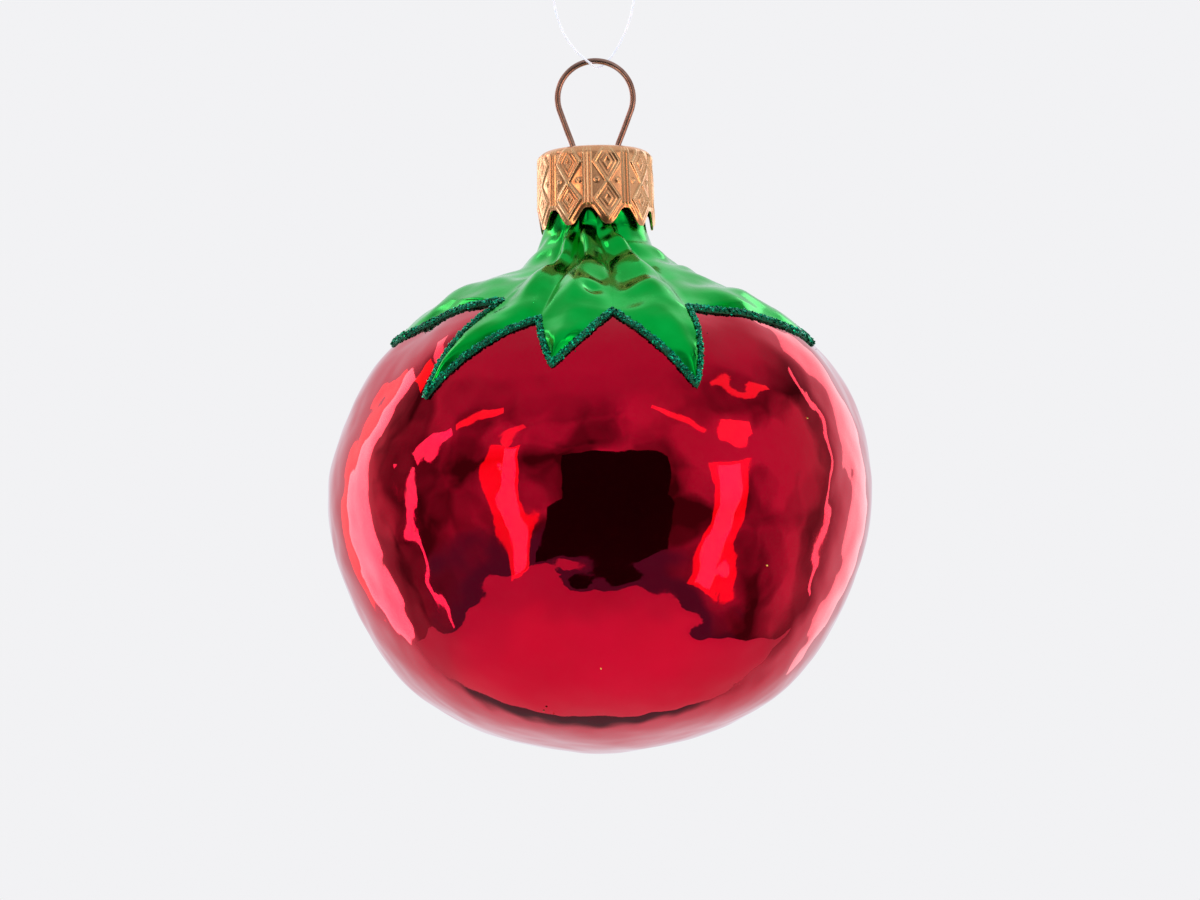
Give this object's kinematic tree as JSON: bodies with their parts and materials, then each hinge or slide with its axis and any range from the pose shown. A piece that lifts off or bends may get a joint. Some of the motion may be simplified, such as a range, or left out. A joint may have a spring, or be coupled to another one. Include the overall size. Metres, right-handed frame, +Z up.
{
  "type": "tomato-shaped hanging glass ornament",
  "caption": "Hollow blown-glass bauble shaped like a tomato, with a leafy calyx, glitter edging, a stamped crown cap, a sprung wire hanger and a thread loop to hang it by.",
  "frame": {"origin": "the hang point: the underside of the hanger wire at the top of its loop, where the thread bears", "axes": "+Z up along the neck and the hanger, -Y towards the front, +X to the right"},
  "size_m": [0.0714, 0.0714, 0.1197],
  "materials": {
    "red_mirror_glass": "polished",
    "green_lacquer": "polished",
    "green_glitter": "matte",
    "gold_cap": "satin",
    "bronzed_wire": "satin",
    "nylon": "gloss"
  },
  "bodies": {
    "hang_thread": {"hang_thread": "nylon", "thread_knot": "nylon"},
    "hanger": {"hanger_wire": "bronzed_wire"},
    "cap": {"crown_cap": "gold_cap"},
    "glass": {"glass_bulb": "red_mirror_glass", "calyx_lacquer": "green_lacquer", "glitter_trim": "green_glitter"}
  },
  "joints": [
    {"name": "ornament_swing", "type": "hinge", "parent": "hang_thread", "child": "hanger", "pos_m": [0, 0, 0.0004], "axis": [1, 0, 0], "range_deg": [-70, 70]},
    {"name": "cap_lift", "type": "slide", "parent": "hanger", "child": "cap", "axis": [0, 0, 1], "range_m": [0, 0.0025]},
    {"name": "glass_pull", "type": "slide", "parent": "hanger", "child": "glass", "axis": [0, 0, -1], "range_m": [0, 0.03]}
  ]
}
